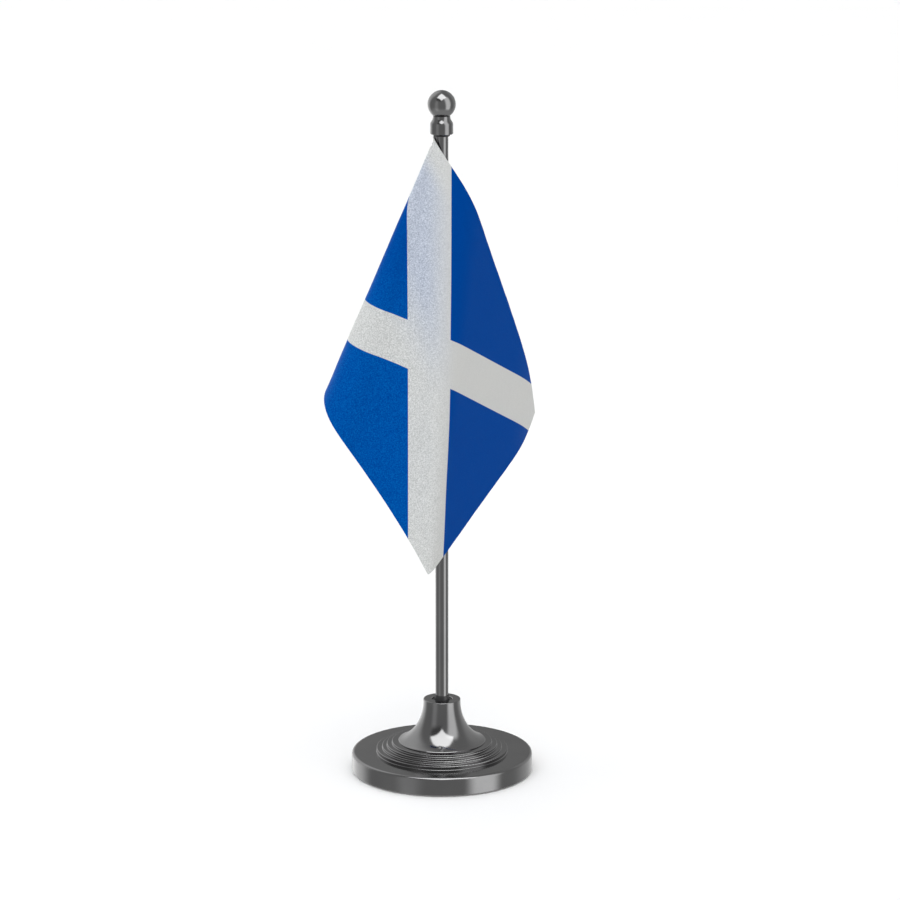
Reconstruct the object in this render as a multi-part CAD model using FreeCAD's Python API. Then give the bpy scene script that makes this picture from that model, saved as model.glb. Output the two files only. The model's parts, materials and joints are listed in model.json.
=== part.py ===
# Desk flag stand: a weighted round base, a trumpet neck, a slim tube pole with a ball finial, and a
# table flag that hangs from two cord rings on the pole.
#
# Millimetres. Origin at the centre of the base's underside, +Z up the pole, -Y is the front.
# Each piece is one solid in its own STEP file, parts/NAME.step.
import FreeCAD, Part
import math
import os

# ---------------------------------------------------------------- driving dimensions

OVERALL_HEIGHT = 425.5

BASE_R = 56.0             # outside of the round base
COVER_WALL = 1.2          # spun steel cover
COVER_BOTTOM_Z = 0.6      # the cover's rim hangs just clear of the table
RIM_TOP_Z = 12.0          # the broad flat ring round the base
RIM_CORNER = 1.8          # rounding where that ring turns down into the side
PLATEAU_Z = 18.5          # the raised centre that the neck stands on
STEPS = [(40.6, 14.3), (37.1, 15.6), (34.2, 17.1), (31.0, PLATEAU_Z)]   # (riser radius, level above it)
STEP_CORNER = 0.35

FELT_R = 52.0
FELT_T = 0.8
PLATE_R = 54.4
PLATE_T = 1.2

NECK_FOOT_R = 27.0
NECK_FOOT_H = 0.7         # the upright edge under the trumpet
NECK_TOP_Z = 45.7
NECK_COLLAR_R = 11.5
NECK_COLLAR_H = 1.7       # the straight band round the top
NECK_BORE_R = 6.25

POLE_R = 4.0
POLE_WALL = 1.0
POLE_BOTTOM_Z = 30.0
POLE_TOP_Z = 399.0

BUSH_LIP_R = 4.35         # thin lip that stands round the pole
BUSH_LIP_Z = 47.9
BUSH_FACE_Z = 44.9        # its broad face lies just inside the neck
BUSH_FLOOR = 1.5

FINIAL_R = 6.9            # the plain collar under the ball
FINIAL_COLLAR_H = 6.0
FINIAL_WAIST_R = 5.2
FINIAL_WAIST_Z = 409.3
BALL_R = 8.5
STUD_R = 2.0              # M4 stud between the pole and the ball
STUD_BOTTOM_Z = 392.0
STUD_TOP_Z = 414.0

BOLT_R = 3.0              # M6 bolt that clamps the neck, cover and ballast together

RUN = 0.06                # radial clearance of a running fit

CORD_R = 0.45             # the black cord of the two rings that hold the flag
RING_GAP = 0.10           # between the cord and the pole

# The flag is a flat cloth, 225 x 150, and its hoist is sewn into a tape along the pole. Its diagonal from
# the top corner at the pole to the far bottom corner hangs down in front of the pole.
FLAG_HOIST = 150.0
FLAG_FLY = 219.9          # free cloth beyond the tape; the rest of the 225 is sewn into the tape
FLAG_CORNER = (-4.6, -4.1, 396.8)
CLOTH_T = 0.5
TAPE_INSIDE_R = 4.35
TAPE_T = 0.7
TAPE_WRAP = 125.0         # degrees round the back of the pole

# ---------------------------------------------------------------- helpers


def at(r, z):
    return FreeCAD.Vector(r, 0, z)


def turned(corners):
    """A body of revolution from its half section: (r, z) or (r, z, rounding) at each corner."""
    points = [at(c[0], c[1]) for c in corners]
    roundings = [c[2] if len(c) > 2 else 0.0 for c in corners]
    edges = []
    exits = []
    count = len(points)
    for i in range(count):
        here = points[i]
        back = (points[i - 1] - here).normalize()
        ahead = (points[(i + 1) % count] - here).normalize()
        if roundings[i] == 0.0:
            exits.append((here, here, None))
            continue
        half = back.getAngle(ahead) / 2
        reach = roundings[i] / math.tan(half)
        bisector = (back + ahead).normalize()
        middle = here + bisector * (roundings[i] / math.sin(half) - roundings[i])
        exits.append((here + back * reach, here + ahead * reach, middle))
    for i in range(count):
        enter, leave, middle = exits[i]
        if middle is not None:
            edges.append(Part.Arc(enter, middle, leave).toShape())
        following = exits[(i + 1) % count][0]
        if leave.distanceToPoint(following) > 1e-6:
            edges.append(Part.LineSegment(leave, following).toShape())
    return revolved(edges)


def revolved(edges):
    face = Part.Face(Part.Wire(edges))
    return face.revolve(FreeCAD.Vector(0, 0, 0), FreeCAD.Vector(0, 0, 1), 360)


def smooth(points):
    """One smooth edge through points of a half section."""
    curve = Part.BSplineCurve()
    curve.interpolate([at(r, z) for r, z in points])
    return curve.toShape()


def line(start, end):
    return Part.LineSegment(at(*start), at(*end)).toShape()


def rod(radius, low, high):
    return Part.makeCylinder(radius, high - low, FreeCAD.Vector(0, 0, low))


def tube(outer, inner, low, high):
    return rod(outer, low, high).cut(rod(inner, low, high))


# ---------------------------------------------------------------- base


def base_cover():
    """The spun cover: a flat ring, four shallow steps up to a plateau, and an upright side."""
    outer = [(BOLT_R + 0.3, PLATEAU_Z)]
    for level in range(len(STEPS) - 1, -1, -1):
        radius, top = STEPS[level]
        below = STEPS[level - 1][1] if level > 0 else RIM_TOP_Z
        outer.append((radius, top, STEP_CORNER))
        outer.append((radius, below, STEP_CORNER))
    outer.append((BASE_R, RIM_TOP_Z, RIM_CORNER))
    outer.append((BASE_R, COVER_BOTTOM_Z, 0.5))
    inner = [(BASE_R - COVER_WALL, COVER_BOTTOM_Z)]
    inner.append((BASE_R - COVER_WALL, RIM_TOP_Z - COVER_WALL, RIM_CORNER - COVER_WALL))
    for level in range(len(STEPS)):
        radius, top = STEPS[level]
        below = STEPS[level - 1][1] if level > 0 else RIM_TOP_Z
        inner.append((radius - COVER_WALL, below - COVER_WALL))
        inner.append((radius - COVER_WALL, top - COVER_WALL))
    inner.append((BOLT_R + 0.3, PLATEAU_Z - COVER_WALL))
    return turned(outer + inner)


def base_felt():
    return turned([(0, 0), (FELT_R, 0), (FELT_R, FELT_T), (0, FELT_T)])


def base_plate():
    low = FELT_T
    high = FELT_T + PLATE_T
    return turned([(0, low), (PLATE_R, low), (PLATE_R, high, 0.3), (0, high)])


COUNTERBORE_R = 8.5
BOLT_HEAD_Z = 2.4
BOLT_HEAD_H = 4.0
SPRING_WASHER_T = 1.6
FLAT_WASHER_T = 1.2
WASHER_SEAT_Z = BOLT_HEAD_Z + BOLT_HEAD_H + SPRING_WASHER_T + FLAT_WASHER_T


def ballast_weight():
    """Cast iron slug that fills the cover and takes the bolt's head in a counterbore."""
    low = FELT_T + PLATE_T
    shoulder_r = STEPS[3][0] - COVER_WALL - 1.3
    return turned([
        (COUNTERBORE_R, low), (BASE_R - COVER_WALL - 0.8, low, 0.6),
        (BASE_R - COVER_WALL - 0.8, RIM_TOP_Z - COVER_WALL, 1.2),
        (shoulder_r + 4.0, RIM_TOP_Z - COVER_WALL),
        (shoulder_r, PLATEAU_Z - COVER_WALL, 0.8),
        (BOLT_R + 0.4, PLATEAU_Z - COVER_WALL), (BOLT_R + 0.4, WASHER_SEAT_Z),
        (COUNTERBORE_R, WASHER_SEAT_Z)])


def neck_bolt():
    """M6 x 20 hexagon bolt, head down."""
    across_flats = 10.0
    corner_r = across_flats / 2 / math.cos(math.pi / 6)
    corners = []
    for i in range(7):
        angle = math.radians(60 * i)
        corners.append(FreeCAD.Vector(corner_r * math.cos(angle), corner_r * math.sin(angle), BOLT_HEAD_Z))
    hexagon = Part.Face(Part.makePolygon(corners)).extrude(FreeCAD.Vector(0, 0, BOLT_HEAD_H))
    chamfer = turned([
        (0, BOLT_HEAD_Z), (across_flats / 2, BOLT_HEAD_Z), (corner_r + 0.1, BOLT_HEAD_Z + 0.6),
        (corner_r + 0.1, BOLT_HEAD_Z + BOLT_HEAD_H), (0, BOLT_HEAD_Z + BOLT_HEAD_H)])
    neck_z = BOLT_HEAD_Z + BOLT_HEAD_H
    shank = turned([
        (0, neck_z), (BOLT_R, neck_z), (BOLT_R, neck_z + 19.2), (BOLT_R - 0.8, neck_z + 20), (0, neck_z + 20)])
    return hexagon.common(chamfer).fuse(shank)


def spring_washer():
    """Split ring under the bolt's head."""
    low = BOLT_HEAD_Z + BOLT_HEAD_H
    ring = tube(5.9, BOLT_R + 0.1, low, low + SPRING_WASHER_T)
    slit = Part.makeBox(4.0, 0.8, 3.0, FreeCAD.Vector(BOLT_R - 0.5, -0.4, low - 0.5))
    slit.rotate(FreeCAD.Vector(4.5, 0, low + SPRING_WASHER_T / 2), FreeCAD.Vector(1, 0, 0), 25)
    return ring.cut(slit)


def flat_washer():
    low = BOLT_HEAD_Z + BOLT_HEAD_H + SPRING_WASHER_T
    return tube(6.0, BOLT_R + 0.2, low, low + FLAT_WASHER_T)


# ---------------------------------------------------------------- neck and bush

NECK_BORE_FLOOR_Z = POLE_BOTTOM_Z - BUSH_FLOOR
THREAD_TOP_Z = 27.2


def neck():
    """Turned trumpet: its flank is a quarter ellipse between the top band and the foot's edge."""
    band_z = NECK_TOP_Z - NECK_COLLAR_H
    foot_z = PLATEAU_Z + NECK_FOOT_H
    half_width = 22.0
    foot_bevel = 0.25
    flank = []
    points = 12
    widest = math.acos(1 - (NECK_FOOT_R - foot_bevel - NECK_COLLAR_R) / half_width)
    half_height = (band_z - foot_z) / math.sin(widest)
    for i in range(points + 1):
        angle = widest * i / points
        flank.append((NECK_COLLAR_R + half_width * (1 - math.cos(angle)), band_z - half_height * math.sin(angle)))
    edges = [
        smooth(flank),
        line(flank[-1], (NECK_FOOT_R, foot_z - foot_bevel)),
        line((NECK_FOOT_R, foot_z - foot_bevel), (NECK_FOOT_R, PLATEAU_Z)),
        line((NECK_FOOT_R, PLATEAU_Z), (BOLT_R, PLATEAU_Z)),
        line((BOLT_R, PLATEAU_Z), (BOLT_R, THREAD_TOP_Z)),
        line((BOLT_R, THREAD_TOP_Z), (0, THREAD_TOP_Z)),
        line((0, THREAD_TOP_Z), (0, NECK_BORE_FLOOR_Z)),
        line((0, NECK_BORE_FLOOR_Z), (NECK_BORE_R, NECK_BORE_FLOOR_Z)),
        line((NECK_BORE_R, NECK_BORE_FLOOR_Z), (NECK_BORE_R, NECK_TOP_Z - 0.4)),
        line((NECK_BORE_R, NECK_TOP_Z - 0.4), (NECK_BORE_R + 0.4, NECK_TOP_Z)),
        line((NECK_BORE_R + 0.4, NECK_TOP_Z), (NECK_COLLAR_R - 0.5, NECK_TOP_Z)),
        Part.Arc(at(NECK_COLLAR_R - 0.5, NECK_TOP_Z), at(NECK_COLLAR_R - 0.146, NECK_TOP_Z - 0.146),
                 at(NECK_COLLAR_R, NECK_TOP_Z - 0.5)).toShape(),
        line((NECK_COLLAR_R, NECK_TOP_Z - 0.5), (NECK_COLLAR_R, band_z)),
    ]
    return revolved(edges)


def pole_bush():
    """Black moulded bush in the neck's bore, with a thin lip standing round the pole."""
    outside = NECK_BORE_R - 0.05
    inside = POLE_R + RUN
    return turned([
        (0, NECK_BORE_FLOOR_Z), (outside, NECK_BORE_FLOOR_Z, 0.4), (outside, BUSH_FACE_Z, 0.4),
        (BUSH_LIP_R + 0.5, BUSH_FACE_Z, 0.3), (BUSH_LIP_R, BUSH_LIP_Z), (inside, BUSH_LIP_Z),
        (inside, POLE_BOTTOM_Z), (0, POLE_BOTTOM_Z)])


# ---------------------------------------------------------------- pole


def pole_tube():
    inside = POLE_R - POLE_WALL
    return turned([
        (inside, POLE_BOTTOM_Z), (POLE_R, POLE_BOTTOM_Z, 0.3), (POLE_R, POLE_TOP_Z, 0.2), (inside, POLE_TOP_Z)])


def pole_plug():
    """Moulded plug that closes the pole's lower end."""
    inside = POLE_R - POLE_WALL
    return turned([(0, POLE_BOTTOM_Z), (inside, POLE_BOTTOM_Z), (inside, POLE_BOTTOM_Z + 9, 0.8),
                   (0, POLE_BOTTOM_Z + 9)])


def finial_insert():
    """Brass insert pressed into the pole's top, with the thread for the finial's stud."""
    inside = POLE_R - POLE_WALL
    low = POLE_TOP_Z - 16
    bore = STUD_R + RUN
    return turned([(bore, low), (inside, low, 0.4), (inside, POLE_TOP_Z), (bore, POLE_TOP_Z)])


# ---------------------------------------------------------------- finial


def finial_stud():
    return turned([
        (0, STUD_BOTTOM_Z), (STUD_R, STUD_BOTTOM_Z, 0.5), (STUD_R, STUD_TOP_Z, 0.5), (0, STUD_TOP_Z)])


def finial_collar():
    """Plain collar, drawn in above to a waist under the ball."""
    low = POLE_TOP_Z
    high = low + FINIAL_COLLAR_H
    bore = STUD_R + RUN
    crown_z = ball_centre_z() - math.sqrt(BALL_R ** 2 - FINIAL_WAIST_R ** 2)
    side = [(FINIAL_R - 0.4, low), (FINIAL_R, low + 0.4), (FINIAL_R, high)]
    edges = [line(side[i], side[i + 1]) for i in range(len(side) - 1)]
    shoulder = [
        (FINIAL_R, high), (FINIAL_R - 0.28, high + 1.1), (FINIAL_WAIST_R + 0.65, high + 2.4),
        (FINIAL_WAIST_R + 0.08, FINIAL_WAIST_Z - 0.6), (FINIAL_WAIST_R, FINIAL_WAIST_Z)]
    edges += [
        smooth(shoulder),
        line((FINIAL_WAIST_R, FINIAL_WAIST_Z), (FINIAL_WAIST_R, crown_z - 0.25)),
        line((FINIAL_WAIST_R, crown_z - 0.25), (FINIAL_WAIST_R - 0.25, crown_z - 0.25)),
        line((FINIAL_WAIST_R - 0.25, crown_z - 0.25), (bore, crown_z - 0.25)),
        line((bore, crown_z - 0.25), (bore, low)),
        line((bore, low), side[0]),
    ]
    return revolved(edges)


def ball_centre_z():
    return OVERALL_HEIGHT - BALL_R


def finial_ball():
    """Ball with a small flat under it where it seats on the collar, bored for the stud."""
    centre = FreeCAD.Vector(0, 0, ball_centre_z())
    seat_z = ball_centre_z() - math.sqrt(BALL_R ** 2 - FINIAL_WAIST_R ** 2) - 0.25
    ball = Part.makeSphere(BALL_R, centre, FreeCAD.Vector(0, 0, 1), -90, 90, 360)
    ball = ball.cut(rod(BALL_R + 1, seat_z - 10, seat_z))
    return ball.cut(rod(STUD_R + RUN, seat_z - 1, STUD_TOP_Z + 0.3))


# ---------------------------------------------------------------- flag

# Between the hoist and the diagonal the cloth is a cone from the top corner. Seen down the pole it
# leaves to the back left, rolls round to the front and comes forward to the diagonal: each bend is
# (angle it spans at the corner, radians; turn, degrees, + to the left).
CONE_HEADING = 122.7      # first heading, from +X towards +Y
CONE_BENDS = [(0.338, -45.0), (0.368, -202.3), (0.150, 27.2), (0.120, 19.0)]

# Beyond the diagonal it hangs as an upright curtain. Its heading in plan turns back past the ridge at
# the diagonal, and again towards the far edge.
CURTAIN_HEADING = 56.8
CURTAIN_END_HEADING = 74.1
CURTAIN_END_BEND = (81.0, 118.0)      # between these distances from the diagonal
RIDGE_WIDTH_TOP = 48.0
RIDGE_WIDTH_FOOT = 4.0

DIAGONAL_ANGLE = math.atan2(FLAG_FLY, FLAG_HOIST)
DIAGONAL = math.hypot(FLAG_FLY, FLAG_HOIST)
CURTAIN_SLICES = 24
CONE_FACETS = [4, 14, 3, 4]           # flat facets that each bend of the cone is made of
CURTAIN_FACETS = 18
CORNER_CUT = 4.0                      # the solid stops short of the corner, where the cone is a point


def swung(ruling, heading, span, bend_rate):
    """Swing a direction through span radians, its heading turning by bend_rate radians per radian."""
    axis = ruling.cross(heading) + ruling * bend_rate
    swing = FreeCAD.Rotation(axis, math.degrees(axis.Length * span))
    return swing.multVec(ruling), swing.multVec(heading)


def cone_ruling(angle):
    """Direction of the straight line from the top corner at this flat angle from the hoist."""
    start = math.radians(CONE_HEADING)
    ruling = FreeCAD.Vector(0, 0, -1)
    heading = FreeCAD.Vector(math.cos(start), math.sin(start), 0)
    for span, turn in CONE_BENDS:
        rate = math.radians(turn) / span
        ruling, heading = swung(ruling, heading, min(span, angle), rate)
        angle -= span
        if angle <= 0:
            break
    return ruling, heading


def ease(value, low, high):
    part = min(max((value - low) / (high - low), 0.0), 1.0)
    return part * part * (3 - 2 * part)


def curtain_heading(along, across, first):
    """Heading of the curtain in plan, at this distance down the diagonal and across from it."""
    width = RIDGE_WIDTH_TOP + (RIDGE_WIDTH_FOOT - RIDGE_WIDTH_TOP) * along / DIAGONAL
    ridge = 1 - (1 - min(across / width, 1.0)) ** 2
    turned_back = ease(across, *CURTAIN_END_BEND)
    heading = first + (CURTAIN_HEADING - first) * ridge
    return math.radians(heading + (CURTAIN_END_HEADING - CURTAIN_HEADING) * turned_back)


def cloth_point(fly, drop):
    """Where the point of the flat cloth at this distance along the fly and down the hoist hangs."""
    corner = FreeCAD.Vector(*FLAG_CORNER)
    reach = math.hypot(fly, drop)
    angle = math.atan2(fly, drop)
    if angle <= DIAGONAL_ANGLE:
        return corner + cone_ruling(angle)[0] * reach
    down, heading = cone_ruling(DIAGONAL_ANGLE)
    first = math.degrees(math.atan2(heading.y, heading.x))
    along = reach * math.cos(angle - DIAGONAL_ANGLE)
    across = reach * math.sin(angle - DIAGONAL_ANGLE)
    right = (FreeCAD.Vector(1, 0, 0) - down * down.x).normalize()
    back = down.cross(right) * -1
    place = corner + down * along
    slice_width = across / CURTAIN_SLICES
    for i in range(CURTAIN_SLICES):
        plan = curtain_heading(along, slice_width * (i + 0.5), first)
        place += (right * math.cos(plan) + back * math.sin(plan)) * slice_width
    return place


def cloth_normal(fly, drop):
    """Unit normal towards the front of the cloth."""
    reach = 0.5
    fly = min(max(fly, reach), FLAG_FLY - reach)
    drop = min(max(drop, reach), FLAG_HOIST - reach)
    along_fly = cloth_point(fly + reach, drop) - cloth_point(fly - reach, drop)
    down_hoist = cloth_point(fly, drop + reach) - cloth_point(fly, drop - reach)
    return down_hoist.cross(along_fly).normalize()


def cloth_ribs():
    """Straight lines of the cloth from its upper to its lower edge, as pairs of flat points."""
    angles = [0.0]
    for (span, turn), pieces in zip(CONE_BENDS, CONE_FACETS):
        start = angles[-1]
        angles += [start + span * (i + 1) / pieces for i in range(pieces)]
    ribs = []
    for angle in angles:
        angle = min(angle, DIAGONAL_ANGLE)
        start = (CORNER_CUT * math.sin(angle), CORNER_CUT * math.cos(angle))
        ribs.append((start, (min(FLAG_HOIST * math.tan(angle), FLAG_FLY), FLAG_HOIST)))
    widest = FLAG_FLY * math.cos(DIAGONAL_ANGLE) - 1.0
    for i in range(CURTAIN_FACETS):
        across = widest * ((i + 1) / CURTAIN_FACETS) ** 1.3
        upper = (across / math.cos(DIAGONAL_ANGLE), 0.0)
        ribs.append((upper, (FLAG_FLY, FLAG_HOIST - across / math.sin(DIAGONAL_ANGLE))))
    return ribs


def facets(a, b, c, d):
    """Two triangles across four corners."""
    return [Part.Face(Part.makePolygon([a, b, c, a])), Part.Face(Part.makePolygon([a, c, d, a]))]


def flag_cloth():
    """The cloth as a thin closed solid of long flat facets between its ribs."""
    rails = []
    for ends in cloth_ribs():
        points = [cloth_point(*end) for end in ends]
        offsets = [cloth_normal(*end) * (CLOTH_T / 2) for end in ends]
        front_top, front_foot = points[0] + offsets[0], points[1] + offsets[1]
        back_top, back_foot = points[0] - offsets[0], points[1] - offsets[1]
        rails.append((front_top, front_foot, back_foot, back_top))
    faces = facets(*rails[0]) + facets(*rails[-1])
    for here, beyond in zip(rails, rails[1:]):
        for i, j in ((0, 1), (3, 2), (1, 2), (0, 3)):
            faces += facets(here[i], here[j], beyond[j], beyond[i])
    shell = Part.Shell(faces)
    shell.sewShape()
    solid = Part.Solid(shell)
    if solid.Volume < 0:
        solid.reverse()
    return solid


def hoist_tape():
    """White tape round the back of the pole, with the fin that the cloth's hoist edge is sewn to."""
    corner_angle = math.degrees(math.atan2(FLAG_CORNER[1], FLAG_CORNER[0])) % 360
    low = FLAG_CORNER[2] - FLAG_HOIST
    high = FLAG_CORNER[2] + 1.0
    outside = TAPE_INSIDE_R + TAPE_T
    section = Part.makePolygon([at(TAPE_INSIDE_R, low), at(outside, low), at(outside, high),
                                at(TAPE_INSIDE_R, high), at(TAPE_INSIDE_R, low)])
    wrap = Part.Face(section).revolve(FreeCAD.Vector(0, 0, 0), FreeCAD.Vector(0, 0, 1), TAPE_WRAP)
    wrap.rotate(FreeCAD.Vector(0, 0, 0), FreeCAD.Vector(0, 0, 1), corner_angle - TAPE_WRAP)
    reach = math.hypot(FLAG_CORNER[0], FLAG_CORNER[1]) - TAPE_INSIDE_R - 0.45
    fin = Part.makeBox(reach, 0.6, FLAG_HOIST - 1.0, FreeCAD.Vector(TAPE_INSIDE_R, -0.6, low))
    fin.rotate(FreeCAD.Vector(0, 0, 0), FreeCAD.Vector(0, 0, 1), corner_angle)
    return wrap.fuse(fin).removeSplitter()


def cord_ring(height):
    """Cord ring that runs loosely on the pole, threaded through one end of the tape."""
    return Part.makeTorus(POLE_R + RING_GAP + CORD_R, CORD_R, FreeCAD.Vector(0, 0, height))


def ring_top():
    return cord_ring(FLAG_CORNER[2] + 1.4)


def ring_bottom():
    return cord_ring(FLAG_CORNER[2] - FLAG_HOIST + 1.0)


# ---------------------------------------------------------------- write


def write(name, shape):
    solid = shape.Solids[0] if len(shape.Solids) == 1 else shape
    solid.exportStep("parts/" + name + ".step")
    print(name, "valid" if solid.isValid() else "INVALID", "volume %.1f" % solid.Volume, len(shape.Solids))


PIECES = {
    "base_cover": base_cover,
    "base_felt": base_felt,
    "base_plate": base_plate,
    "ballast_weight": ballast_weight,
    "neck_bolt": neck_bolt,
    "spring_washer": spring_washer,
    "flat_washer": flat_washer,
    "neck": neck,
    "pole_bush": pole_bush,
    "pole_tube": pole_tube,
    "pole_plug": pole_plug,
    "finial_insert": finial_insert,
    "finial_stud": finial_stud,
    "finial_collar": finial_collar,
    "finial_ball": finial_ball,
    "flag_cloth": flag_cloth,
    "hoist_tape": hoist_tape,
    "ring_top": ring_top,
    "ring_bottom": ring_bottom,
}

os.makedirs("parts", exist_ok=True)
for name, make in PIECES.items():
    write(name, make())
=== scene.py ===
"""Desk flag stand: cloth, tape, cord rings, finishes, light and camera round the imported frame."""
import json
from math import atan2, cos, degrees, hypot, pi, radians, sin

import bpy
import numpy as np
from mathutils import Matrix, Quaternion, Vector


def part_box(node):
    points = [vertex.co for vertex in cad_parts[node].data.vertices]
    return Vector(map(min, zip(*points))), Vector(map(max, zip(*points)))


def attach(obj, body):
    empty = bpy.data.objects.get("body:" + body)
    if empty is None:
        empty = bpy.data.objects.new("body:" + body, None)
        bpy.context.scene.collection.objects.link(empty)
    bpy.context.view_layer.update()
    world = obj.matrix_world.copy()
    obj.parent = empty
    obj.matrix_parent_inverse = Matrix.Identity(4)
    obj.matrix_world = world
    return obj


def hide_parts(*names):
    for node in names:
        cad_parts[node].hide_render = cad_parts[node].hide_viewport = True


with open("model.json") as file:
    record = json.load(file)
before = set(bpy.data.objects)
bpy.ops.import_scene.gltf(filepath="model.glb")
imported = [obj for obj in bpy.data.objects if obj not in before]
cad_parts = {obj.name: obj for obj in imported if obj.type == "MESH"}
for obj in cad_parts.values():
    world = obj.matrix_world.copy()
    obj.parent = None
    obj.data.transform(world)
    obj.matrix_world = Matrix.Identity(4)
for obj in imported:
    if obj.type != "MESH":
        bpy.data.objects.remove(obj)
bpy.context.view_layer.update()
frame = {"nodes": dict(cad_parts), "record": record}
NODES = frame["nodes"]
MM = 0.001

# The flag, in millimetres. Fly runs along the top edge from the hoist, drop runs down the hoist.
FLAG_HOIST = 150.0
FLAG_FLY = 219.9
PRINT_FLY = 225.0
HOIST_HIDDEN = PRINT_FLY - FLAG_FLY     # turned in behind the tape
FLAG_CORNER = Vector((-4.6, -4.1, 396.8))
CLOTH_T = 0.28
CLOTH_STEP = 1.4
EDGE_SWELL = 0.5                        # how much thicker the heat-cut edge is, as a share
EDGE_SWELL_REACH = 0.8
BAND_HALF_WIDTH = 13.81
WARP_PITCH = 0.42
WEFT_PITCH = 0.34

# Its hang. Up to the diagonal the cloth is a cone from the hoist's top corner: a plan heading in
# degrees, then bends as (angle in the flat cloth in radians, turn in degrees). Beyond the diagonal it
# is a curtain.
CONE_HEADING = 122.7
CONE_BENDS = [(0.338, -45.0), (0.368, -202.3), (0.150, 27.2), (0.120, 19.0)]
CURTAIN_HEADING = 56.8
CURTAIN_END_HEADING = 74.1
CURTAIN_END_BEND = (81.0, 118.0)        # from and to, across the curtain
CURTAIN_SLICES = 24
RIDGE_WIDTH_TOP = 48.0
RIDGE_WIDTH_FOOT = 4.0
DIAGONAL_ANGLE = atan2(FLAG_FLY, FLAG_HOIST)
DIAGONAL = hypot(FLAG_FLY, FLAG_HOIST)

# Its unevenness, out of the surface.
BROAD_RELIEF = 0.18
SMALL_RELIEF = 0.03
PUCKER = 0.04
PUCKER_REACH = 3.2
PUCKER_FADE = 2.718                     # the pucker shrinks by this factor over each reach
HOIST_CALM = 30.0                       # the relief grows from nothing over this much fly

# The pole and what is threaded on it, in millimetres.
POLE_R = 4.0
TAPE_INSIDE_R = 4.4
TAPE_T = 0.6
TAPE_WRAP = 124.0                       # degrees round the back of the pole
TAPE_ARC_STEPS = 28
TAPE_LEVELS = 96
TAPE_SLOPE_START = 5.5                  # from here along its width the top slopes down to the cloth
TAPE_SLOPE_DROP = 3.4
TAPE_WAVE = 0.05
STITCH_LENGTH = 2.1
STITCH_PITCH = 2.9
STITCH_R = 0.11
STITCH_DIP = 0.14                       # how far its ends go down into the tape
STITCH_ANGLE = 16.0                     # degrees round the pole from the cloth's edge
STITCH_POINTS = 7
CORD_R = 0.45
CORD_STRANDS = 3
CORD_TURNS = 16
CORD_STEPS = 120
RING_GAP = 0.10
SHARP_ANGLE = 50                        # degrees; cloth and tape are smooth below it


# ---------------------------------------------------------------- materials


class Shade:
    """A procedural material built node by node round one Principled shader."""

    def __init__(self, name, **sockets):
        self.mat = bpy.data.materials.new(name)
        self.mat.use_nodes = True
        self.tree = self.mat.node_tree
        self.shader = self.tree.nodes["Principled BSDF"]
        self.place = self.node("ShaderNodeTexCoord").outputs["Object"]
        for socket, value in sockets.items():
            self.shader.inputs[socket.replace("_", " ")].default_value = value

    def node(self, kind, **settings):
        made = self.tree.nodes.new(kind)
        for key, value in settings.items():
            setattr(made, key, value)
        return made

    def join(self, source, target):
        self.tree.links.new(source, target)

    def noise(self, scale, detail=3.0, roughness=0.55, stretch=(1, 1, 1)):
        """Noise at `scale` features per metre, stretched per axis."""
        mapping = self.node("ShaderNodeMapping")
        mapping.inputs["Scale"].default_value = stretch
        self.join(self.place, mapping.inputs["Vector"])
        made = self.node("ShaderNodeTexNoise")
        made.inputs["Scale"].default_value = scale
        made.inputs["Detail"].default_value = detail
        made.inputs["Roughness"].default_value = roughness
        self.join(mapping.outputs["Vector"], made.inputs["Vector"])
        return made.outputs["Fac"]

    def math(self, operation, first, second=None):
        made = self.node("ShaderNodeMath", operation=operation)
        for slot, value in enumerate((first, second)):
            if isinstance(value, (int, float)):
                made.inputs[slot].default_value = value
            elif value is not None:
                self.join(value, made.inputs[slot])
        return made.outputs["Value"]

    def spread(self, value, low, high, start=0.3, end=0.7):
        """Maps a value's start..end to low..high."""
        made = self.node("ShaderNodeMapRange", interpolation_type="SMOOTHSTEP")
        made.inputs["From Min"].default_value = start
        made.inputs["From Max"].default_value = end
        made.inputs["To Min"].default_value = low
        made.inputs["To Max"].default_value = high
        self.join(value, made.inputs["Value"])
        return made.outputs["Result"]

    def blend(self, value, *stops):
        """A colour ramp with (position, colour) stops."""
        made = self.node("ShaderNodeValToRGB")
        ramp = made.color_ramp
        while len(ramp.elements) < len(stops):
            ramp.elements.new(0.5)
        for element, (position, colour) in zip(ramp.elements, stops):
            element.position = position
            element.color = (*colour, 1.0)
        self.join(value, made.inputs["Fac"])
        return made.outputs["Color"]

    def mix(self, factor, first, second, mode="MIX"):
        made = self.node("ShaderNodeMix", data_type="RGBA", blend_type=mode)
        for index, value in ((0, factor), (6, first), (7, second)):
            if isinstance(value, (int, float)):
                made.inputs[index].default_value = value
            elif isinstance(value, tuple):
                made.inputs[index].default_value = (*value, 1.0)
            else:
                self.join(value, made.inputs[index])
        return made.outputs[2]

    def bump(self, height, strength, distance, under=None):
        made = self.node("ShaderNodeBump")
        made.inputs["Strength"].default_value = strength
        made.inputs["Distance"].default_value = distance
        self.join(height, made.inputs["Height"])
        if under is not None:
            self.join(under, made.inputs["Normal"])
        return made.outputs["Normal"]

    def finish(self, colour=None, roughness=None, normal=None):
        for socket, value in (("Base Color", colour), ("Roughness", roughness), ("Normal", normal)):
            if value is not None:
                self.join(value, self.shader.inputs[socket])
        return self.mat


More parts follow.
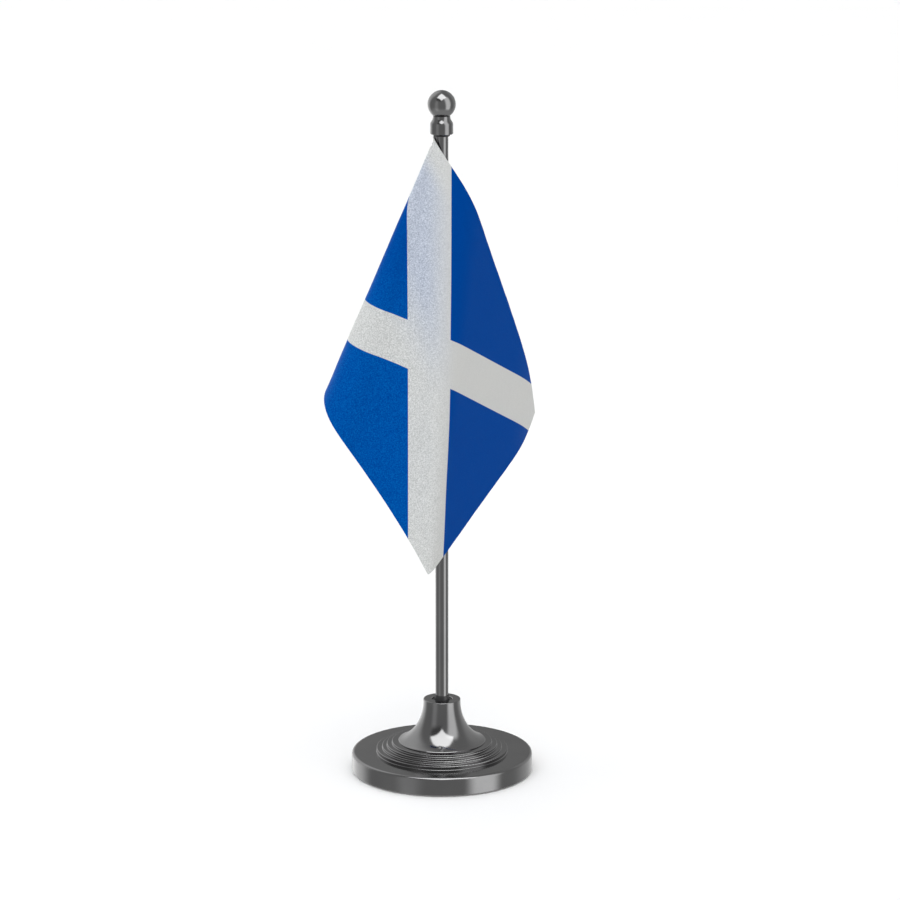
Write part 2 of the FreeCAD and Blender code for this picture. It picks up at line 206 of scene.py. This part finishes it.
def dark_chrome():
    """Smoked chrome plate: slight cloudiness, finger haze and fine polishing marks round the axis."""
    made = Shade("dark_chrome", Metallic=1.0)
    cloud = made.noise(38, 4.0)
    haze = made.noise(95, 5.0, 0.6)
    marks = made.noise(900, 2.0, 0.5, stretch=(0.15, 0.15, 2.2))
    colour = made.blend(cloud, (0.3, (0.130, 0.130, 0.132)), (0.7, (0.152, 0.152, 0.152)))
    scratched = made.math("MULTIPLY", marks, 0.02)
    roughness = made.math("ADD", made.spread(haze, 0.095, 0.135), scratched)
    return made.finish(colour, roughness, made.bump(made.noise(170, 2.0), 0.03, 0.00003))


def black_plastic():
    """Moulded nylon with a fine spark-eroded grain."""
    made = Shade("black_plastic", IOR=1.52)
    grain = made.noise(5200, 3.0)
    tone = made.noise(160)
    colour = made.blend(tone, (0.3, (0.012, 0.012, 0.013)), (0.7, (0.022, 0.022, 0.024)))
    return made.finish(colour, made.spread(grain, 0.36, 0.52), made.bump(grain, 0.3, 0.00006))


def cast_iron():
    """Sand-cast skin: dark grey with coarse pitting."""
    made = Shade("cast_iron", Metallic=0.75, IOR=2.0)
    grain = made.noise(420, 6.0, 0.65)
    pits = made.noise(1500, 4.0, 0.7)
    colour = made.blend(grain, (0.3, (0.045, 0.043, 0.042)), (0.7, (0.11, 0.105, 0.1)))
    normal = made.bump(pits, 0.5, 0.0002, made.bump(grain, 0.4, 0.0004))
    return made.finish(colour, made.spread(pits, 0.6, 0.85), normal)


def zinc_steel():
    """Zinc plate on steel: spangled, a little yellowed."""
    made = Shade("zinc_steel", Metallic=1.0)
    spangle = made.node("ShaderNodeTexVoronoi")
    spangle.inputs["Scale"].default_value = 260
    made.join(made.place, spangle.inputs["Vector"])
    facets = made.math("MULTIPLY", spangle.outputs["Distance"], 0.5)
    tone = made.math("ADD", facets, made.noise(500))
    colour = made.blend(tone, (0.35, (0.42, 0.42, 0.4)), (0.95, (0.62, 0.61, 0.56)))
    skin = made.bump(made.noise(1800), 0.12, 0.00005)
    return made.finish(colour, made.spread(tone, 0.26, 0.42), skin)


def felt():
    """Pressed felt: short matted fibres, darker where they lie down."""
    made = Shade("felt", IOR=1.45, Sheen_Weight=0.45, Sheen_Roughness=0.6)
    fibres = made.noise(2600, 6.0, 0.7, stretch=(1, 0.35, 1))
    mat = made.noise(300, 5.0, 0.6)
    tone = made.math("MULTIPLY", made.math("ADD", fibres, mat), 0.5)
    colour = made.blend(tone, (0.3, (0.008, 0.008, 0.009)), (0.7, (0.032, 0.032, 0.034)))
    return made.finish(colour, made.spread(tone, 0.85, 1.0), made.bump(fibres, 0.8, 0.0003))


def brass():
    """Machined brass with turning marks, dulled in patches."""
    made = Shade("brass", Metallic=1.0, IOR=1.5)
    turning = made.noise(2400, 2.0, 0.5, stretch=(0.05, 0.05, 1))
    tarnish = made.noise(220, 4.0)
    colour = made.blend(tarnish, (0.3, (0.46, 0.3, 0.1)), (0.7, (0.68, 0.47, 0.18)))
    return made.finish(colour, made.spread(tarnish, 0.36, 0.24), made.bump(turning, 0.2, 0.00005))


def weave(made, across, along, warp, weft):
    """Height of woven threads, `warp` and `weft` of them per unit of the two coordinates."""
    over = made.math("ABSOLUTE", made.math("SINE", made.math("MULTIPLY", across, warp * pi)))
    under = made.math("ABSOLUTE", made.math("SINE", made.math("MULTIPLY", along, weft * pi)))
    return made.math("ADD", made.math("MULTIPLY", over, 0.65), made.math("MULTIPLY", under, 0.35))


def flag_satin():
    """Printed polyester satin: two white diagonal bands on blue, with the weave's grain, painted
    sheen and painted shade.
    """
    made = Shade("flag_satin", IOR=1.45, Specular_IOR_Level=0.025,
                 Specular_Tint=(0.1, 0.55, 1.0, 1.0))
    uv = made.node("ShaderNodeUVMap", uv_map="flat")
    parts = made.node("ShaderNodeSeparateXYZ")
    made.join(uv.outputs["UV"], parts.inputs["Vector"])
    fly, rise = parts.outputs["X"], parts.outputs["Y"]
    half = BAND_HALF_WIDTH * hypot(PRINT_FLY, FLAG_HOIST) / (PRINT_FLY * FLAG_HOIST)
    ink_edge, ink_bleed = 0.0011, 0.0016
    beyond = made.math("SUBTRACT", made.math("ADD", fly, rise), 1.0)
    falling = made.math("ABSOLUTE", beyond)
    rising = made.math("ABSOLUTE", made.math("SUBTRACT", fly, rise))
    bleed = made.math("MULTIPLY", made.math("SUBTRACT", made.noise(3000, 3.0), 0.5), ink_bleed)
    offset = made.math("ADD", made.math("MINIMUM", falling, rising), bleed)
    printed = made.spread(offset, 0.0, 1.0, half - ink_edge, half + ink_edge)
    slub = made.noise(1250, 3.0, 0.75)
    fleck = made.noise(1300, 2.0, 0.7)
    broad = made.noise(11, 2.0)
    # Painted sheen: lighter, grainier and bluer colour on the cone side of the diagonal stands in for
    # the satin's sheen.
    painted_sheen_side = made.spread(beyond, 1.0, 0.0, -0.04, 0.16)
    # Painted shade: a darker bluish band of the white from mid height up to just below the top
    # corner.
    high = made.spread(rise, 0.0, 1.0, 0.40, 0.66)
    painted_shade_below_tip = made.spread(rise, 1.0, 0.0, 0.88, 0.97)
    plain_white = made.blend(fleck, (0.34, (0.625, 0.625, 0.605)), (0.68, (0.665, 0.665, 0.645)))
    # Painted glints: the white on the sheen side, with a wider spread of flecks than the plain white.
    painted_glint_white = made.blend(fleck, (0.34, (0.50, 0.505, 0.49)), (0.5, (0.64, 0.645, 0.63)),
                            (0.66, (0.80, 0.80, 0.785)))
    # Painted shade with a painted bluish sheen: the darker bluish white of the shaded band.
    painted_shade_sheen_white = made.blend(fleck, (0.34, (0.35, 0.39, 0.475)), (0.5, (0.51, 0.55, 0.635)),
                            (0.66, (0.70, 0.735, 0.81)))
    # The painted shade band laid over the painted glint white.
    painted_light_white = made.mix(made.math("MULTIPLY", high, painted_shade_below_tip), painted_glint_white, painted_shade_sheen_white)
    plain_blue = made.blend(slub, (0.3, (0.0, 0.052, 0.290)), (0.7, (0.0, 0.062, 0.325)))
    # Painted sheen on the blue: lighter, bluer and grainier than the plain blue.
    painted_sheen_blue = made.blend(slub, (0.34, (0.0, 0.050, 0.285)), (0.5, (0.0, 0.082, 0.375)),
                             (0.66, (0.002, 0.125, 0.47)))
    # The white and the blue take the painted sheen and painted shade on the cone side of the
    # diagonal.
    white = made.mix(painted_sheen_side, plain_white, painted_light_white)
    # The painted sheen on the blue weakens by up to 0.55 towards the top.
    low = made.math("SUBTRACT", 1.0, made.math("MULTIPLY", high, 0.55))
    blue = made.mix(made.math("MULTIPLY", painted_sheen_side, low), plain_blue, painted_sheen_blue)
    pattern = made.mix(printed, white, blue)
    tone = made.mix(made.spread(broad, 0.0, 0.35), pattern, (0.93, 0.95, 0.985), "MULTIPLY")
    threads = weave(made, fly, rise, PRINT_FLY / WARP_PITCH, FLAG_HOIST / WEFT_PITCH)
    woven = made.bump(threads, 0.22, 0.00005)
    normal = made.bump(made.math("ADD", slub, fleck), 0.30, 0.00012, woven)
    return made.finish(tone, made.spread(fleck, 0.56, 0.40), normal)


def white_tape():
    """Cotton heading tape: a coarse twill with diagonal ribs."""
    made = Shade("white_tape", IOR=1.5, Sheen_Weight=0.15)
    parts = made.node("ShaderNodeSeparateXYZ")
    made.join(made.node("ShaderNodeUVMap", uv_map="flat").outputs["UV"], parts.inputs["Vector"])
    ribs = made.math("ADD", parts.outputs["X"], parts.outputs["Y"])
    height = weave(made, ribs, parts.outputs["Y"], 1.6, 2.4)
    wear = made.noise(240, 4.0)
    ribbed = made.spread(height, 0.0, 1.0, 0.1, 0.9)
    colour = made.mix(ribbed, (0.5, 0.49, 0.46), (0.74, 0.73, 0.70))
    colour = made.mix(made.spread(wear, 0.0, 0.5), colour, (0.94, 0.92, 0.87), "MULTIPLY")
    return made.finish(colour, made.spread(wear, 0.7, 0.9), made.bump(height, 0.7, 0.0002))


def black_cord():
    """Laid polyester cord: fine filaments along the strands."""
    made = Shade("black_cord", IOR=1.5, Sheen_Weight=0.25, Sheen_Roughness=0.4)
    filaments = made.noise(5200, 3.0, 0.6)
    colour = made.blend(filaments, (0.3, (0.008, 0.008, 0.009)), (0.7, (0.035, 0.035, 0.038)))
    return made.finish(colour, made.spread(filaments, 0.5, 0.7), made.bump(filaments, 0.6, 0.0001))


def white_thread():
    """Spun sewing thread."""
    made = Shade("white_thread", IOR=1.5, Sheen_Weight=0.2)
    spun = made.noise(4200, 3.0)
    colour = made.blend(spun, (0.3, (0.55, 0.545, 0.53)), (0.7, (0.78, 0.775, 0.76)))
    return made.finish(colour, made.spread(spun, 0.55, 0.75), made.bump(spun, 0.4, 0.00008))


FINISHES = (dark_chrome, black_plastic, cast_iron, zinc_steel, felt, brass, flag_satin, white_tape,
            black_cord)
MATERIALS = {make.__name__: make() for make in FINISHES}
THREAD = white_thread()

for part in frame["record"]["subparts"]:
    for slot in NODES[part["node"]].material_slots:
        slot.material = MATERIALS[part["material_slot"]]


# ---------------------------------------------------------------- meshes


def mesh_piece(name, points, faces, material, body, flat=None, shade_angle=None):
    """A named piece from points in millimetres, riding on a body, with its finish's slot."""
    mesh = bpy.data.meshes.new(name)
    mesh.from_pydata([tuple(c * MM for c in p) for p in points], [], faces)
    if flat is not None:
        layer = mesh.uv_layers.new(name="flat")
        for loop in mesh.loops:
            layer.data[loop.index].uv = flat[loop.vertex_index]
    mesh.materials.append(material)
    mesh.validate()
    mesh.shade_smooth()
    if shade_angle is not None:
        mesh.set_sharp_from_angle(angle=radians(shade_angle))
    piece = bpy.data.objects.new(name, mesh)
    bpy.context.scene.collection.objects.link(piece)
    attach(piece, body)
    return piece


def grid_faces(rows, columns, first=0, flip=False, close_rows=False, close_columns=False):
    """Quads over rows x columns of points, joined round where an axis is closed."""
    faces = []
    for i in range(rows if close_rows else rows - 1):
        for j in range(columns if close_columns else columns - 1):
            a = first + i * columns + j
            b = first + i * columns + (j + 1) % columns
            c = first + (i + 1) % rows * columns + (j + 1) % columns
            d = first + (i + 1) % rows * columns + j
            faces.append((a, d, c, b) if flip else (a, b, c, d))
    return faces


def swept(centres, frames, radius, sides, closed):
    """Points and faces of a round strand along centres; frames gives two unit vectors at each."""
    points = []
    for centre, (first, second) in zip(centres, frames):
        for k in range(sides):
            angle = 2 * pi * k / sides
            points.append(centre + first * (radius * cos(angle)) + second * (radius * sin(angle)))
    faces = grid_faces(len(centres), sides, close_rows=closed, close_columns=True)
    if not closed:
        last = (len(centres) - 1) * sides
        faces.append(tuple(range(sides - 1, -1, -1)))
        faces.append(tuple(range(last, last + sides)))
    return points, faces


# ---------------------------------------------------------------- flag cloth


def ease(value, start, end):
    """Smooth step from 0 at start to 1 at end."""
    share = min(max((value - start) / (end - start), 0.0), 1.0)
    return share * share * (3 - 2 * share)


def swung(ruling, heading, span, bend_rate):
    """Turns the ruling through span while the cloth bends across it."""
    axis = ruling.cross(heading) + ruling * bend_rate
    swing = Quaternion(axis.normalized(), axis.length * span)
    return swing @ ruling, swing @ heading


def cone_ruling(angle):
    """The cloth's line from the hoist's top corner at an angle in the flat cloth, and its heading."""
    start = radians(CONE_HEADING)
    ruling, heading = Vector((0, 0, -1)), Vector((cos(start), sin(start), 0))
    for span, turn in CONE_BENDS:
        if angle <= 0:
            break
        ruling, heading = swung(ruling, heading, min(span, angle), radians(turn) / span)
        angle -= span
    return ruling, heading


CREASE_DOWN, CREASE_HEADING = cone_ruling(DIAGONAL_ANGLE)
CREASE_FIRST = degrees(atan2(CREASE_HEADING.y, CREASE_HEADING.x))
CURTAIN_RIGHT = (Vector((1, 0, 0)) - CREASE_DOWN * CREASE_DOWN.x).normalized()
CURTAIN_BACK = -CREASE_DOWN.cross(CURTAIN_RIGHT)


def curtain_heading(along, across):
    """The plan heading beyond the diagonal: a rounded ridge, a straight run, an end bend."""
    width = RIDGE_WIDTH_TOP + (RIDGE_WIDTH_FOOT - RIDGE_WIDTH_TOP) * along / DIAGONAL
    ridge = 1 - (1 - min(across / width, 1)) ** 2
    heading = CREASE_FIRST + (CURTAIN_HEADING - CREASE_FIRST) * ridge
    end_turn = CURTAIN_END_HEADING - CURTAIN_HEADING
    return radians(heading + end_turn * ease(across, *CURTAIN_END_BEND))


def cloth_point(fly, drop):
    """Where a point of the flat cloth hangs."""
    reach = hypot(fly, drop)
    angle = atan2(fly, drop)
    if angle <= DIAGONAL_ANGLE:
        return FLAG_CORNER + cone_ruling(angle)[0] * reach
    along = reach * cos(angle - DIAGONAL_ANGLE)
    across = reach * sin(angle - DIAGONAL_ANGLE)
    place = FLAG_CORNER + CREASE_DOWN * along
    step = across / CURTAIN_SLICES
    for i in range(CURTAIN_SLICES):
        plan = curtain_heading(along, (i + 0.5) * step)
        place += (CURTAIN_RIGHT * cos(plan) + CURTAIN_BACK * sin(plan)) * step
    return place


def cloth_relief(fly, drop):
    """Small out-of-plane unevenness: a soft drape ripple and a pucker along the heat-cut edges."""
    away = min(fly, HOIST_CALM) / HOIST_CALM
    broad = BROAD_RELIEF * sin(fly / 17.0 + drop / 29.0) * sin(drop / 21.0 - fly / 44.0 + 0.8)
    small = SMALL_RELIEF * sin(fly / 5.3 - drop / 7.1) * sin(drop / 4.7 + fly / 9.2)
    relief = away * (broad + small)
    edges = ((FLAG_FLY - fly, drop), (drop, fly), (FLAG_HOIST - drop, fly))
    for distance, along in edges:
        fade = PUCKER_FADE ** (-distance / PUCKER_REACH)
        relief += away * PUCKER * fade * sin(along / 2.9 + 1.3 * sin(along / 11.0))
    return relief


def build_cloth():
    """One closed sheet: a front and a back face, joined round edges that the cut has thickened."""
    columns = int(FLAG_FLY / CLOTH_STEP) + 1
    rows = int(FLAG_HOIST / CLOTH_STEP) + 1
    flys = np.linspace(0.0, FLAG_FLY, columns)
    drops = np.linspace(0.0, FLAG_HOIST, rows)
    middle = np.array([[cloth_point(f, d) for f in flys] for d in drops])
    along = np.gradient(middle, axis=1)
    down = np.gradient(middle, axis=0)
    normal = np.cross(along, down)
    normal[0, 0] = normal[1, 0]
    normal /= np.linalg.norm(normal, axis=2)[..., None]
    relief = np.array([[cloth_relief(f, d) for f in flys] for d in drops])
    middle = middle + normal * relief[..., None]
    from_sides = np.minimum(drops, FLAG_HOIST - drops)[:, None]
    edge = np.minimum(from_sides, (FLAG_FLY - flys)[None, :])
    half = CLOTH_T / 2 * (1.0 + EDGE_SWELL * np.exp(-edge / EDGE_SWELL_REACH))
    points = np.concatenate([(middle + normal * half[..., None]).reshape(-1, 3),
                             (middle - normal * half[..., None]).reshape(-1, 3)])
    count = rows * columns
    faces = grid_faces(rows, columns) + grid_faces(rows, columns, first=count, flip=True)
    rim = list(range(columns)) + [i * columns + columns - 1 for i in range(1, rows)]
    rim += [(rows - 1) * columns + j for j in range(columns - 2, -1, -1)]
    rim += [i * columns for i in range(rows - 2, 0, -1)]
    for here, there in zip(rim, rim[1:] + rim[:1]):
        faces.append((here, here + count, there + count, there))
    flat = [((f + HOIST_HIDDEN) / PRINT_FLY, 1 - d / FLAG_HOIST) for d in drops for f in flys]
    piece = mesh_piece("flag_sheet", points.tolist(), faces, MATERIALS["flag_satin"], "flag",
                       flat + flat, SHARP_ANGLE)
    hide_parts("flag_cloth")
    return piece


# ---------------------------------------------------------------- hoist tape and stitches


CORNER_ANGLE = atan2(FLAG_CORNER.y, FLAG_CORNER.x)
CORNER_R = hypot(FLAG_CORNER.x, FLAG_CORNER.y)
TAPE_LOW = FLAG_CORNER.z - FLAG_HOIST + 0.2
TAPE_HIGH = FLAG_CORNER.z + 0.8


def tape_section():
    """The tape's middle line in plan, each point with its outward direction.

    It wraps round the back of the pole, then goes out as a flap to the cloth's edge.
    """
    middle = TAPE_INSIDE_R + TAPE_T / 2
    arc = []
    for i in range(TAPE_ARC_STEPS + 1):
        angle = CORNER_ANGLE - radians(TAPE_WRAP * (1 - i / TAPE_ARC_STEPS))
        out = Vector((cos(angle), sin(angle), 0))
        arc.append((out * middle, out))
    radial = Vector((cos(CORNER_ANGLE), sin(CORNER_ANGLE), 0))
    tangent = Vector((-radial.y, radial.x, 0))
    flap = [(radial * (middle + 0.3) - tangent * 0.16, (radial - tangent).normalized()),
            (radial * (middle + 0.8) - tangent * 0.28, -tangent),
            (radial * (CORNER_R - 0.25) - tangent * 0.28, -tangent)]
    return arc + flap


def build_tape():
    """A closed strip, thinner at its selvedges and gently uneven along its height."""
    section = tape_section()
    run = [0.0]
    for (here, _), (there, _) in zip(section, section[1:]):
        run.append(run[-1] + (there - here).length)
    points, flat = [], []
    outer_first = [(1, j) for j in range(len(section))]
    inner_back = [(-1, j) for j in range(len(section) - 1, -1, -1)]
    for i in range(TAPE_LEVELS + 1):
        share = i / TAPE_LEVELS
        for side, j in outer_first + inner_back:
            middle, out = section[j]
            edge = min(run[j], run[-1] - run[j], 1.0)
            thick = TAPE_T / 2 * (0.55 + 0.45 * edge)
            top = TAPE_HIGH - TAPE_SLOPE_DROP * ease(run[j], TAPE_SLOPE_START, run[-1])
            z = TAPE_LOW + (top - TAPE_LOW) * share
            wave = TAPE_WAVE * sin(z / 3.1 + run[j] * 1.7) if side == 1 else 0.0
            place = middle + out * (side * thick + wave)
            points.append((place.x, place.y, z))
            flat.append((run[j], z))
    around = 2 * len(section)
    faces = grid_faces(TAPE_LEVELS + 1, around, close_columns=True)
    faces.append(tuple(range(around - 1, -1, -1)))
    faces.append(tuple(range(TAPE_LEVELS * around, (TAPE_LEVELS + 1) * around)))
    piece = mesh_piece("hoist_band", points, faces, MATERIALS["white_tape"], "flag",
                       flat, SHARP_ANGLE)
    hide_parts("hoist_tape")
    return piece


def build_stitches():
    """A row of thread stitches down the back of the tape, beside the flap."""
    points, faces = [], []
    angle = CORNER_ANGLE - radians(STITCH_ANGLE)
    out = Vector((cos(angle), sin(angle), 0))
    side = Vector((-out.y, out.x, 0))
    start = out * (TAPE_INSIDE_R + TAPE_T + 0.02)
    z = TAPE_LOW + 2.0
    while z < TAPE_HIGH - 3.0:
        centres, frames = [], []
        for k in range(STITCH_POINTS):
            share = k / (STITCH_POINTS - 1)
            dip = STITCH_DIP * (1 - sin(pi * share) ** 0.5)
            centres.append(start + Vector((0, 0, z + STITCH_LENGTH * share)) - out * dip)
            frames.append((out, side))
        more, sides = swept(centres, frames, STITCH_R, 6, False)
        first = len(points)
        points += more
        faces += [tuple(first + v for v in face) for face in sides]
        z += STITCH_PITCH
    return mesh_piece("hoist_stitches", points, faces, THREAD, "flag")


def build_ring(name, node):
    """A cord ring of three laid strands, where its CAD ring is."""
    low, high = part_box(node)
    height = (low.z + high.z) / 2 / MM
    centre_r = POLE_R + RING_GAP + CORD_R
    strand_r = CORD_R * 0.5
    lay_r = CORD_R - strand_r
    up = Vector((0, 0, 1))
    points, faces = [], []
    for strand in range(CORD_STRANDS):
        centres, frames = [], []
        for i in range(CORD_STEPS):
            angle = 2 * pi * i / CORD_STEPS
            twist = CORD_TURNS * angle + 2 * pi * strand / CORD_STRANDS
            out = Vector((cos(angle), sin(angle), 0))
            lay = out * cos(twist) + up * sin(twist)
            round_pole = up.cross(out) * centre_r
            round_lay = (up * cos(twist) - out * sin(twist)) * (lay_r * CORD_TURNS)
            across = (round_pole + round_lay).normalized().cross(lay).normalized()
            centres.append(out * centre_r + lay * lay_r + Vector((0, 0, height)))
            frames.append((lay, across))
        more, sides = swept(centres, frames, strand_r, 8, True)
        first = len(points)
        points += more
        faces += [tuple(first + v for v in face) for face in sides]
    piece = mesh_piece(name, points, faces, MATERIALS["black_cord"], "flag")
    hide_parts(node)
    return piece


cloth = build_cloth()
tape = build_tape()
stitches = build_stitches()
build_ring("cord_ring_top", "ring_top")
build_ring("cord_ring_bottom", "ring_bottom")


# ---------------------------------------------------------------- floor, light and camera


def build_floor():
    """A plain pale floor, wide enough to fill any view from above."""
    rings, sides, radius = 6, 64, 30000.0
    points = [(0.0, 0.0, 0.0)]
    for ring in range(1, rings + 1):
        reach = radius * (ring / rings) ** 3
        for k in range(sides):
            points.append((reach * cos(2 * pi * k / sides), reach * sin(2 * pi * k / sides), 0.0))
    faces = [(0, 1 + k, 1 + (k + 1) % sides) for k in range(sides)]
    faces += grid_faces(rings, sides, first=1, flip=True, close_columns=True)
    mesh = bpy.data.meshes.new("floor")
    mesh.from_pydata([tuple(c * MM for c in p) for p in points], [], faces)
    made = Shade("pale_floor", IOR=1.4, Specular_IOR_Level=0.1)
    tone = made.noise(9, 4.0)
    made.finish(made.blend(tone, (0.3, (0.90, 0.90, 0.90)), (0.7, (0.905, 0.905, 0.905))),
                made.spread(tone, 0.75, 0.85))
    mesh.materials.append(made.mat)
    floor = bpy.data.objects.new("floor", mesh)
    bpy.context.scene.collection.objects.link(floor)
    floor.visible_glossy = False


def direction(azimuth, elevation):
    """Unit vector; azimuth 0 is towards the front of the object, 90 to its right."""
    a, e = radians(azimuth), radians(elevation)
    return Vector((sin(a) * cos(e), -cos(a) * cos(e), sin(e)))


# Soft panels of the studio, and two darker stretches of wall: azimuth, elevation, half width and
# half height in degrees, edge, brightness over the room's, and the share of it that fabric sees.
PANELS = [
    (56.0, 12.0, 21.0, 46.0, 10.0, 2.15, 0.05),
    (-43.0, -8.0, 13.0, 40.0, 10.0, 0.42, 0.4),
    (-140.0, 10.0, 28.0, 50.0, 14.0, 0.95, 0.4),
    (140.0, 0.0, 26.0, 40.0, 14.0, 0.30, 0.4),
    (0.0, -78.0, 60.0, 42.0, 14.0, 0.40, 0.4),
    (180.0, 15.0, 34.0, 24.0, 14.0, -0.26, 0.0),
    (-25.0, 46.0, 22.0, 15.0, 8.0, -0.36, 0.0),
]
ROOM = 0.62
# The overhead panel is a square seen cornerwise: elevation, half diagonals, edge, brightness.
# Reflections see it tipped towards the front, fabric and floor see it straight above.
OVERHEAD = (70.0, 33.0, 33.0, 0.12, 5.0)
FABRIC_OVERHEAD = (89.0, 36.0, 46.0, 0.10, 2.1)
FABRIC_ROOM = 0.47


def build_world():
    """Plain surround with soft panels: full in reflections, dimmed for fabric and floor."""
    world = bpy.data.worlds.new("studio")
    bpy.context.scene.world = world
    world.use_nodes = True
    tree = world.node_tree
    tree.nodes.clear()
    place = tree.nodes.new("ShaderNodeTexCoord").outputs["Generated"]

    def vector(operation, first, second):
        made = tree.nodes.new("ShaderNodeVectorMath")
        made.operation = operation
        tree.links.new(first, made.inputs[0])
        made.inputs[1].default_value = second
        return made.outputs["Value"]

    def math(operation, first, second):
        made = tree.nodes.new("ShaderNodeMath")
        made.operation = operation
        for slot, value in enumerate((first, second)):
            if isinstance(value, (int, float)):
                made.inputs[slot].default_value = value
            else:
                tree.links.new(value, made.inputs[slot])
        return made.outputs["Value"]

    def fade(value, start, end):
        made = tree.nodes.new("ShaderNodeMapRange")
        made.interpolation_type = "SMOOTHSTEP"
        made.inputs["From Min"].default_value = start
        made.inputs["From Max"].default_value = end
        made.inputs["To Min"].default_value = 1.0
        made.inputs["To Max"].default_value = 0.0
        tree.links.new(value, made.inputs["Value"])
        return made.outputs["Result"]

    def off_centre(azimuth, elevation):
        """How far a direction lies to the side of a panel's middle, and above or below it."""
        forward = direction(azimuth, elevation)
        right = direction(azimuth + 90, 0)
        ahead = vector("DOT_PRODUCT", place, forward)
        wide = math("ARCTAN2", vector("DOT_PRODUCT", place, right), ahead)
        high = math("ARCTAN2", vector("DOT_PRODUCT", place, right.cross(forward)), ahead)
        return math("ABSOLUTE", wide, 0.0), math("ABSOLUTE", high, 0.0)

    def overhead(elevation, half_wide, half_high, edge, brightness):
        """The light of a cornerwise square panel above."""
        wide, high = off_centre(0.0, elevation)
        across = math("DIVIDE", wide, radians(half_wide))
        reach = math("ADD", across, math("DIVIDE", high, radians(half_high)))
        return math("MULTIPLY", fade(reach, 1.0 - edge, 1.0 + edge), brightness)

    seen = math("ADD", overhead(*OVERHEAD), ROOM)
    soft = math("ADD", overhead(*FABRIC_OVERHEAD), FABRIC_ROOM)
    for azimuth, elevation, half_wide, half_high, edge, brightness, share in PANELS:
        wide, high = off_centre(azimuth, elevation)
        mask = math("MULTIPLY", fade(wide, radians(half_wide - edge), radians(half_wide + edge)),
                    fade(high, radians(half_high - edge), radians(half_high + edge)))
        seen = math("ADD", seen, math("MULTIPLY", mask, brightness))
        soft = math("ADD", soft, math("MULTIPLY", mask, brightness * share))
    path = tree.nodes.new("ShaderNodeLightPath")
    strength = tree.nodes.new("ShaderNodeMix")
    strength.data_type = "FLOAT"
    tree.links.new(path.outputs["Is Glossy Ray"], strength.inputs[0])
    tree.links.new(soft, strength.inputs[2])
    tree.links.new(seen, strength.inputs[3])
    studio = tree.nodes.new("ShaderNodeBackground")
    studio.inputs["Color"].default_value = (1.0, 1.0, 1.0, 1.0)
    tree.links.new(strength.outputs[0], studio.inputs["Strength"])
    plain = tree.nodes.new("ShaderNodeBackground")
    plain.inputs["Color"].default_value = (1.0, 1.0, 1.0, 1.0)
    chosen = tree.nodes.new("ShaderNodeMixShader")
    tree.links.new(path.outputs["Is Camera Ray"], chosen.inputs[0])
    tree.links.new(studio.outputs[0], chosen.inputs[1])
    tree.links.new(plain.outputs[0], chosen.inputs[2])
    output = tree.nodes.new("ShaderNodeOutputWorld")
    tree.links.new(chosen.outputs[0], output.inputs["Surface"])


def build_light(name, place, towards, size, power, colour):
    """A soft square lamp that reflections don't show."""
    lamp = bpy.data.lights.new(name, "AREA")
    lamp.shape = "SQUARE"
    lamp.size = size
    lamp.energy = power
    lamp.color = colour
    light = bpy.data.objects.new(name, lamp)
    light.location = place
    light.rotation_mode = "QUATERNION"
    light.rotation_quaternion = (Vector(towards) - Vector(place)).to_track_quat("-Z", "Y")
    light.visible_glossy = False
    bpy.context.scene.collection.objects.link(light)


CAMERA_PLACE = (0.005, -2.35, 0.777)
CAMERA_PITCH = 13.7                     # degrees below level
CAMERA_LENS = 158.4
CAMERA_SENSOR = 36.0


def build_camera():
    """The viewing angle: a long lens, a little above the object and looking down at it."""
    lens = bpy.data.cameras.new("camera")
    lens.sensor_width = CAMERA_SENSOR
    lens.lens = CAMERA_LENS
    lens.clip_end = 100.0
    camera = bpy.data.objects.new("camera", lens)
    camera.location = CAMERA_PLACE
    camera.rotation_euler = (radians(90 - CAMERA_PITCH), 0, 0)
    bpy.context.scene.collection.objects.link(camera)
    bpy.context.scene.camera = camera


build_floor()
build_world()
build_light("key", place=(-1.1, -1.7, 1.5), towards=(0, 0, 0.25), size=1.2, power=9.0,
            colour=(0.84, 0.92, 1.0))
build_camera()
bpy.context.scene.view_settings.view_transform = "Standard"
